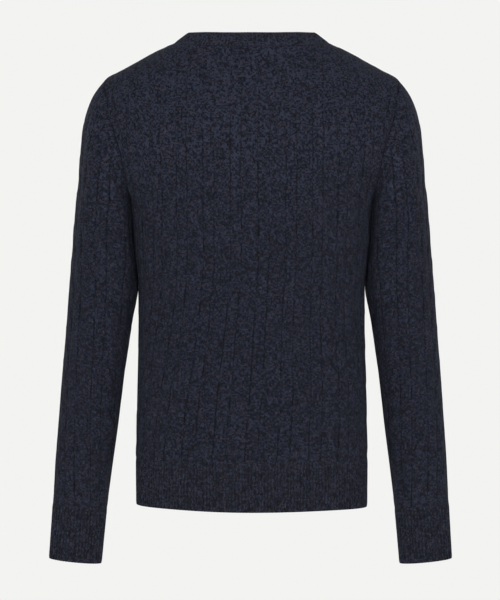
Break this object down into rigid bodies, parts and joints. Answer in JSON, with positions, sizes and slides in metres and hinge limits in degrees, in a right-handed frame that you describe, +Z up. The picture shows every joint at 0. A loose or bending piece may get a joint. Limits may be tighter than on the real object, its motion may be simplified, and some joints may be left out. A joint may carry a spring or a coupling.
{
  "type": "cable-knit crew-neck pullover with long sleeves, filled out as if worn",
  "caption": "Long-sleeved cable-knit pullover as a hollow worn form: cabled front, back and set-in sleeves, with a ribbed crew neckband, hem welts and cuffs.",
  "frame": {"origin": "midway between the neck ends of the two shoulder seams, where the wearer's shoulders hold it", "axes": "+Z up, -Y towards the garment's front, +X towards the wearer's left"},
  "size_m": [0.5726, 0.2177, 0.7559],
  "materials": {
    "cable_knit": "matt",
    "rib_knit": "matt"
  },
  "bodies": {
    "root": {"front": "cable_knit", "back": "cable_knit", "sleeve_left": "cable_knit", "sleeve_right": "cable_knit", "neckband": "rib_knit", "welt_front": "rib_knit", "welt_back": "rib_knit", "cuff_left": "rib_knit", "cuff_right": "rib_knit"}
  },
  "joints": []
}
